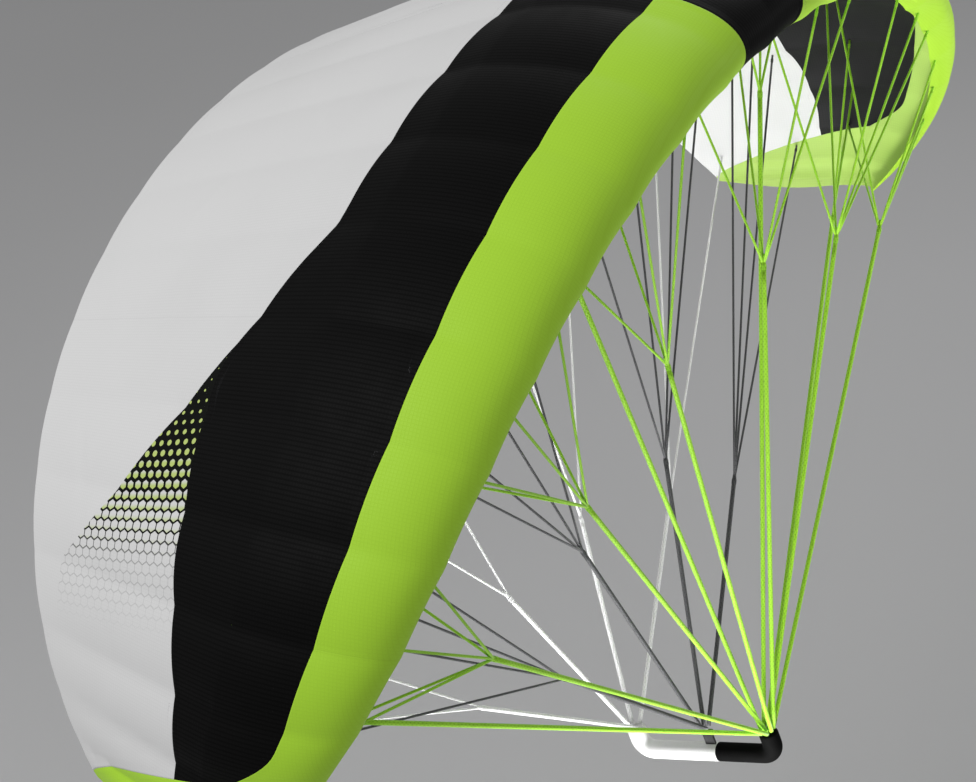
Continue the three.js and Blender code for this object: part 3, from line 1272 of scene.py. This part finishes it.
@dataclass
class Wing:
    """Cloth of the wing, cut and sewn from its panels."""

    form: WingForm = WingForm()
    centre_half: float = 0.0667
    rear: Flat = Flat(1.49, 0.65, 0.704)
    band: Flat = Flat(1.53, 0.36, 0.401)
    nose: Flat = Flat(1.59, 0.24, 0.29)
    centre: Flat = Flat(0.21, 0.24, 0.049)
    tip: Flat = Flat(0.17, 0.37, 0.0285)
    print_start: Pair = (0.537, 0.513)
    left_further: float = 0.03

    def finishes(self) -> dict[str, tuple[Material, Material]]:
        """Finishes of the cloth.

        Returns:
            Outside and inside, by slot.
        """
        white = HoneycombRipstop(
            "white_ripstop",
            paint_colour(224, 224, 224),
            paint_colour(196, 196, 198),
            thread=0.965,
            gloss=0.1,
            sheen=0.0,
            start=(self.print_start[0] * self.form.half_span, self.form.point(*self.print_start).x),
        )
        # The insides are paler copies of the outside cloths: partly painted light for light that shines
        # through the thin cloth, partly the paler back of the coated cloth.
        pale = Ripstop(
            "white_inside",
            paint_colour(248, 248, 248),
            paint_colour(214, 214, 216),
            thread=0.965,
        )
        black = Ripstop(
            "black_ripstop",
            paint_colour(11, 11, 11),
            paint_colour(46, 46, 48),
            thread=0.45,
            ribs=(0.0062, 0.0054),
            cross_share=0.35,
            gloss=0.06,
            sheen=0.0,
            thread_width=0.0024,
        )
        grey = Ripstop(
            "black_inside",
            paint_colour(30, 30, 31),
            paint_colour(72, 72, 74),
            thread=0.8,
            gloss=0.2,
        )
        lime = Ripstop("lime_ripstop", paint_colour(182, 233, 58), paint_colour(150, 198, 48), thread=0.97)
        inside = Ripstop(
            "lime_inside",
            paint_colour(196, 232, 116),
            paint_colour(154, 196, 82),
            thread=0.955,
        )
        return {
            "white_cloth": (white.make(), pale.make()),
            "black_cloth": (black.make(), grey.make()),
            "lime_cloth": (lime.make(), inside.make()),
        }

    def creases(self, side: Side) -> tuple[Crease, ...]:
        """Wrinkles of one half's rear panel, a little further out on the left."""
        further = self.left_further if side is Side.LEFT else 0.0
        return tuple(crease.on(side, further) for crease in REAR_CREASES)

    def panels(self) -> list[Panel]:
        """Panels of both halves.

        Returns:
            The centre piece, and then the panels of each half.
        """
        finishes = self.finishes()
        half, tip = self.centre_half, self.form.tip_column
        plans = [("centre_nose", Cut.NOSE, (-half, half), "black_cloth", self.centre, ())]
        for side in Side:
            sign, word = side.value, side.word
            broad = (0.0, sign * tip)
            plans += [
                (f"rear_panel_{word}", Cut.REAR, broad, "white_cloth", self.rear, self.creases(side)),
                (f"mid_band_{word}", Cut.BAND, broad, "black_cloth", self.band, ()),
                (f"leading_edge_{word}", Cut.NOSE, (sign * half, sign), "lime_cloth", self.nose, ()),
                (f"tip_band_{word}", Cut.TIP, (sign * tip, sign), "lime_cloth", self.tip, ()),
            ]
        return [
            Panel(name, cut, (min(ends), max(ends)), slot, flat, creases, finishes[slot], self.form)
            for name, cut, ends, slot, flat, creases in plans
        ]

    def build(self) -> list[Object]:
        """Build every panel."""
        return [panel.build() for panel in self.panels()]


# Bar


class End(Enum):
    """End of the bar, as the sign of its X."""

    REAR = -1
    FRONT = 1


@dataclass
class Bar:
    """Hand bar with a white rear grip, a black front grip and a strap out of its middle."""

    tilt: float = math.radians(14.5)
    radius: float = 0.018
    reach: float = 0.145
    bend: float = 0.025
    rise: float = 0.05
    split: float = 0.025
    gap: float = 0.0002
    sides: int = 48
    straight_steps: int = 10
    bend_steps: int = 14
    end_steps: int = 3
    lip: float = 0.005
    lip_steps: int = 4
    dish: float = 0.004
    dish_rim: float = 0.003
    strap_forward: float = 0.012
    strap_width: float = 0.022
    strap_thick: float = 0.005
    strap_depth: float = 0.004
    strap_round: float = 0.0008
    strap_steps: int = 2
    tab_share: float = 0.98
    tab_gap: float = 0.001
    eye: float = 0.006
    eye_hole: float = 0.003

    @property
    def turn(self) -> Matrix:
        """Turn that lifts the front end."""
        return Matrix.Rotation(-self.tilt, 4, "Y")

    def across(self, forward: float, height: float) -> Matrix:
        """Place of a circle that faces along X."""
        return Matrix.Translation((forward, 0, height)) @ Matrix.Rotation(QUARTER_TURN, 4, "Y")

    def grip(self, end: End, finish: Material, slot: str) -> Object:
        """Build one end of the bar.

        Args:
            end: Which end.
            finish: Its material.
            slot: Its slot in the record.

        Returns:
            The grip, with its upturned end.
        """
        mesh = bmesh.new()
        node, sign = f"bar_grip_{end.name.lower()}", end.value
        start = self.across(self.split + sign * self.gap, 0.0)
        bmesh.ops.create_circle(mesh, cap_ends=True, segments=self.sides, radius=self.radius, matrix=start)
        ring = list(mesh.edges)
        straight = self.reach - self.bend - sign * self.split - self.gap
        for _ in range(self.straight_steps):
            ring = extrude_ring(mesh, ring, Vector((sign * straight / self.straight_steps, 0, 0)))
        spun = bmesh.ops.spin(
            mesh,
            geom=[*verts_of(ring), *ring],
            cent=(sign * (self.reach - self.bend), 0, self.bend),
            axis=(0, 1, 0),
            dvec=(0, 0, 0),
            angle=-sign * QUARTER_TURN,
            steps=self.bend_steps,
            use_merge=False,
            use_duplicate=False,
        )["geom_last"]
        ring = [item for item in spun if isinstance(item, BMEdge)]
        for _ in range(self.end_steps):
            ring = extrude_ring(mesh, ring, Vector((0, 0, (self.rise - self.bend) / self.end_steps)))
        cap = bmesh.ops.contextual_create(mesh, geom=ring)["faces"][0]
        round_edges(mesh, list(cap.edges), self.lip, self.lip_steps)
        top = max(mesh.faces, key=lambda face: face.calc_center_median().z + face.calc_area())
        bmesh.ops.inset_individual(mesh, faces=[top], thickness=self.dish_rim, depth=0.0)
        bmesh.ops.translate(mesh, verts=list(top.verts), vec=(0, 0, -self.dish))
        bmesh.ops.recalc_face_normals(mesh, faces=list(mesh.faces))
        bmesh.ops.transform(mesh, matrix=self.turn, verts=list(mesh.verts))
        return new_piece(f"foam_{node}", mesh, [finish], node, slot)

    def eye_ring(self, mesh: BMesh, height: float) -> None:
        """Add the strap's eye, a tube along X that is open through its middle.

        Args:
            mesh: Shape that it goes into.
            height: Height of the eye's middle.
        """
        low = self.across(self.strap_forward - self.strap_width / 2, height)
        bmesh.ops.create_circle(mesh, cap_ends=False, segments=self.sides, radius=self.eye, matrix=low)
        extrude_ring(mesh, list(mesh.edges), Vector((self.strap_width, 0, 0)))
        bmesh.ops.recalc_face_normals(mesh, faces=list(mesh.faces))
        bmesh.ops.solidify(mesh, geom=list(mesh.faces), thickness=self.eye - self.eye_hole)

    def strap(self, finish: Material) -> Object:
        """Build the webbing strap that comes up out of the grip, and its eye.

        Args:
            finish: Its material.

        Returns:
            The strap.
        """
        mesh = bmesh.new()
        eye_height = self.rise - self.eye
        self.eye_ring(mesh, eye_height)
        low = self.radius - self.strap_depth
        high = eye_height - self.eye_hole - self.tab_gap
        size = Matrix.Diagonal((self.strap_width * self.tab_share, self.strap_thick, high - low, 1.0))
        place = Matrix.Translation((self.strap_forward, 0, (low + high) / 2)) @ size
        tab = bmesh.ops.create_cube(mesh, size=1.0, matrix=place)["verts"]
        round_edges(mesh, edges_of(tab), self.strap_round, self.strap_steps)
        bmesh.ops.transform(mesh, matrix=self.turn, verts=list(mesh.verts))
        return new_piece("woven_middle_strap", mesh, [finish], "middle_strap", "black_webbing")

    def build(self) -> list[Object]:
        """Build the bar.

        Returns:
            Both grips and the strap.
        """
        bright, white_pore_shade_and_rub = paint_colour(228, 228, 228), paint_colour(206, 206, 206)
        white = Foam("white_foam", bright, white_pore_shade_and_rub, roughness=0.5, gloss=0.4)
        deep, black_pore_shade_and_rub = paint_colour(4, 4, 4), paint_colour(1, 1, 1)
        black = Foam("black_foam", deep, black_pore_shade_and_rub, roughness=0.7, gloss=0.08)
        webbing = Webbing("black_strap", paint_colour(18, 18, 18), paint_colour(44, 44, 45))
        return [
            self.grip(End.REAR, white.make(), "white_grip"),
            self.grip(End.FRONT, black.make(), "black_grip"),
            self.strap(webbing.make()),
        ]


# Lines


class Row(Enum):
    """Row of lines: its letter and its place along the bar."""

    A = ("a", 0.145)
    B = ("b", 0.145)
    C = ("c", 0.012)
    D = ("d", -0.145)

    @property
    def letter(self) -> str:
        """Letter in the node's name."""
        return self.value[0]

    @property
    def tie(self) -> float:
        """Place along the bar."""
        return self.value[1]


class Tie(Enum):
    """Row of ties on the cloth, as a chord place."""

    NOSE = -0.85
    FORE = 0.2
    CREST = 0.3
    MIDDLE = 0.52
    TAIL = 0.88


@dataclass(frozen=True)
class Cascade:
    """A main line from the bar, its knot and the upper lines that spread to the cloth.

    The foot is the way along and across the bar from the row's place. The tops are the span
    places of the ties.
    """

    row: Row
    number: int
    foot: Pair
    knot: Triple
    tops: dict[Tie, tuple[float, ...]]


A1_TOPS = {Tie.NOSE: (0.16, 0.26), Tie.CREST: (0.08, 0.3)}
A2_TOPS = {Tie.NOSE: (0.43, 0.53, 0.6), Tie.CREST: (0.33, 0.62)}
A3_TOPS = {Tie.NOSE: (0.7, 0.77, 0.85), Tie.CREST: (0.66, 0.92)}
CASCADES = (
    Cascade(Row.A, 1, (0.011, 0.0045), (0.111, 0.176, 0.948), A1_TOPS),
    Cascade(Row.A, 2, (0.001, 0.0047), (0.112, 0.459, 0.859), A2_TOPS),
    Cascade(Row.A, 3, (0.007, 0.014), (0.081, 0.713, 0.747), A3_TOPS),
    Cascade(Row.B, 1, (-0.009, 0.0045), (0.052, 0.33, 1.19), {Tie.FORE: (0.17, 0.27, 0.37)}),
    Cascade(Row.B, 2, (-0.006, 0.0136), (-0.078, 0.846, 0.683), {Tie.CREST: (0.77, 0.86, 0.96)}),
    Cascade(Row.C, 1, (-0.0048, 0.0045), (-0.112, 0.155, 0.525), {Tie.MIDDLE: (0.08, 0.29, 0.46, 0.55)}),
    Cascade(Row.C, 2, (0.0048, 0.0045), (-0.07, 0.326, 0.386), {Tie.MIDDLE: (0.62, 0.7, 0.78, 0.95)}),
    Cascade(Row.D, 1, (-0.009, 0.0045), (-0.299, 0.134, 0.368), {Tie.TAIL: (0.18, 0.54)}),
    Cascade(Row.D, 2, (0.0065, 0.008), (-0.231, 0.356, 0.3), {Tie.TAIL: (0.79, 0.96)}),
)


@dataclass
class Lines:
    """All lines of the wing."""

    form: WingForm
    bar: Bar
    main_radius: float = 0.0042
    main_sides: int = 12
    upper_radius: float = 0.0022
    upper_sides: int = 10
    upper_steps: int = 10
    foot: float = 0.0046
    cloth_face: float = 0.0008
    splice: float = 0.018
    splice_end: float = 0.0022
    splice_steps: int = 6
    whipping: float = 0.0006
    knot_turns: int = 8
    knot_back: float = 0.004
    tie_turns: int = 6
    tie_back: float = 0.012
    path_points: int = 24

    def finishes(self) -> dict[Row, tuple[Material, str]]:
        """Finishes of the lines.

        Returns:
            Material and slot, by row.
        """
        lime = Braid("lime_braid", paint_colour(166, 230, 30), paint_colour(112, 182, 8)).make()
        grey = Braid("grey_braid", paint_colour(66, 66, 69), paint_colour(30, 30, 32)).make()
        white = Braid("white_braid", paint_colour(250, 250, 250), paint_colour(222, 222, 225)).make()
        return {
            Row.A: (lime, "lime_line"),
            Row.B: (lime, "lime_line"),
            Row.C: (grey, "grey_line"),
            Row.D: (white, "white_line"),
        }

    def ends(self, plan: Cascade, side: Side) -> tuple[Vector, Vector, list[Vector]]:
        """Foot, knot and upper ends of a cascade.

        Args:
            plan: Its plan.
            side: Its half of the wing.

        Returns:
            The foot on the bar, the knot, and the points on the cloth.
        """
        along, aside = plan.foot
        place = Vector((plan.row.tie + along, side.value * aside, self.bar.rise + self.foot))
        forward, out, up = plan.knot
        knot = Vector((forward, side.value * out, up))
        tops = []
        for tie, spans in plan.tops.items():
            for span in spans:
                target = self.form.point(side.value * span, tie.value)
                way = (target - knot).normalized()
                facing = abs(way.dot(self.form.normal(side.value * span, tie.value)))
                tops.append(target - way * (self.cloth_face / facing))
        return self.bar.turn @ place, knot, tops

    def upper_lines(self, foot: Vector, knot: Vector, tops: Sequence[Vector]) -> BMesh:
        """Shape of the upper lines, with the splice at the knot and a whipping at each end.

        Args:
            foot: Foot of the main line.
            knot: Where the lines part.
            tops: Their ends on the cloth.

        Returns:
            The shape.
        """
        mesh = bmesh.new()
        way = (knot - foot).normalized()
        fan = sum(tops, Vector()) / len(tops) - knot
        tail = knot + fan.normalized() * self.splice
        radii = (self.main_radius, self.splice_end)
        add_tube(mesh, (knot, tail), radii, self.main_sides, self.splice_steps)
        add_coil(mesh, knot - way * self.knot_back, way, self.main_radius, self.whipping, self.knot_turns)
        radii = (self.upper_radius, self.upper_radius)
        for top in tops:
            up = (top - knot).normalized()
            add_tube(mesh, (knot, top), radii, self.upper_sides, self.upper_steps)
            add_coil(mesh, top - up * self.tie_back, up, self.upper_radius, self.whipping, self.tie_turns)
        return mesh

    def cascade(self, plan: Cascade, side: Side, finish: Material, slot: str) -> list[Object]:
        """Build one cascade.

        Args:
            plan: Its plan.
            side: Its half of the wing.
            finish: Its braid.
            slot: Its slot in the record.

        Returns:
            The main line and its upper lines with the knots.
        """
        node = f"line_{plan.row.letter}{plan.number}_{side.word}"
        foot, knot, tops = self.ends(plan, side)
        steps = self.path_points - 1
        mesh = bmesh.new()
        add_tube(mesh, (foot, knot), (self.main_radius, self.main_radius), self.main_sides, steps)
        main = new_piece(f"main_{node}", mesh, [finish], node, slot)
        mesh = self.upper_lines(foot, knot, tops)
        uppers = new_piece(f"uppers_{node}", mesh, [finish], node, slot)
        tuple(foot)
        (knot - foot).length
        2 * self.main_radius
        [tuple(foot.lerp(knot, step / steps)) for step in range(self.path_points)]
        return [main, uppers]

    def build(self) -> list[Object]:
        """Build the lines.

        Returns:
            Every cascade's pieces, on both halves.
        """
        finishes = self.finishes()
        pieces = []
        for plan in CASCADES:
            for side in Side:
                pieces += self.cascade(plan, side, *finishes[plan.row])
        return pieces


# Studio


@dataclass(frozen=True)
class Lamp:
    """A soft square light: its middle, the point it faces, its side, its watts and its cone."""

    name: str
    place: Triple
    target: Triple
    size: float
    power: float
    spread: float = math.pi

    def add(self) -> None:
        """Add the light, which the camera doesn't see."""
        data = bpy.data.lights.new(self.name, "AREA")
        data.size = self.size
        data.energy = self.power
        data.spread = self.spread
        light = bpy.data.objects.new(self.name, data)
        light.visible_camera = False
        light.location = self.place
        way = Vector(self.target) - Vector(self.place)
        light.rotation_euler = way.to_track_quat("-Z", "Y").to_euler()
        bpy.context.scene.collection.objects.link(light)


MIDDLE = (0.0, 0.0, 0.9)
FAR_INSIDE = (-0.1, 0.9, 1.05)
FAR_NOSE = (0.1, 1.15, 0.9)
LAMPS = (
    Lamp("key", (-2.2, -3.6, 4.6), MIDDLE, 2.6, 128.0),
    Lamp("fill", (4.2, -1.5, 2.4), MIDDLE, 3.0, 5.0),
    Lamp("back", (-1.0, 4.2, 3.6), MIDDLE, 2.6, 44.0),
    Lamp("side", (3.2, 3.2, 1.4), FAR_NOSE, 1.0, 4.8, math.radians(36)),
    Lamp("under", (0.3, -0.95, -0.9), FAR_INSIDE, 0.8, 16.0, math.radians(70)),
)


@dataclass
class Studio:
    """Floor, lights and the camera at the photograph's viewing angle."""

    floor: float = -1.0
    floor_size: float = 60.0
    floor_tone: tuple[int, int, int] = (192, 192, 193)
    daylight: float = 0.39
    camera_place: Triple = (1.7042, -2.8636, 2.7283)
    yaw: float = -0.6265
    pitch: float = -0.5183
    roll: float = -0.1601
    focal: float = 2279.4
    frame_wide: float = 976.0
    sensor: float = 36.0

    def build_camera(self) -> None:
        """Place the camera, with no shift and no depth of field."""
        level = Vector((math.cos(self.yaw), -math.sin(self.yaw), 0))
        onward = Vector((math.sin(self.yaw), math.cos(self.yaw), 0))
        ahead = onward * math.cos(self.pitch) + Vector((0, 0, math.sin(self.pitch)))
        upright = level.cross(ahead)
        right = level * math.cos(self.roll) + upright * math.sin(self.roll)
        up = upright * math.cos(self.roll) - level * math.sin(self.roll)
        data = bpy.data.cameras.new("camera")
        data.sensor_width = self.sensor
        data.lens = self.focal * self.sensor / self.frame_wide
        camera = bpy.data.objects.new("camera", data)
        turn = Matrix((right, up, -ahead)).transposed().to_4x4()
        camera.matrix_world = Matrix.Translation(self.camera_place) @ turn
        bpy.context.scene.collection.objects.link(camera)
        bpy.context.scene.camera = camera

    def build(self) -> None:
        """Build the floor, the lights and the world."""
        mesh = bmesh.new()
        bmesh.ops.create_grid(mesh, x_segments=2, y_segments=2, size=self.floor_size)
        bmesh.ops.translate(mesh, verts=list(mesh.verts), vec=(0, 0, self.floor))
        finish = Backdrop("pale_floor", paint_colour(*self.floor_tone)).make()
        link_object("floor", mesh, [finish])
        for lamp in LAMPS:
            lamp.add()
        world = bpy.data.worlds.new("studio")
        world.use_nodes = True
        ground = world.node_tree.nodes["Background"]
        ground.inputs["Color"].default_value = (1.0, 1.0, 1.0, 1.0)
        ground.inputs["Strength"].default_value = self.daylight
        bpy.context.scene.world = world
        bpy.context.scene.view_settings.view_transform = "Standard"


def main() -> None:
    """Load the frame, build the part and its studio, and log the faces of each piece."""
    logging.basicConfig(level=logging.INFO, format="%(name)s: %(message)s")
    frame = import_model()
    LOG.info("loaded %d nodes", len(frame["nodes"]))
    studio = Studio()
    studio.build_camera()
    wing = Wing()
    bar = Bar()
    pieces = [*Lines(wing.form, bar).build(), *wing.build(), *bar.build()]
    studio.build()
    for piece in pieces:
        LOG.info("%s: %d faces", piece.name, len(piece.data.polygons))
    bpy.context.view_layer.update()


if __name__ == "__main__":
    main()
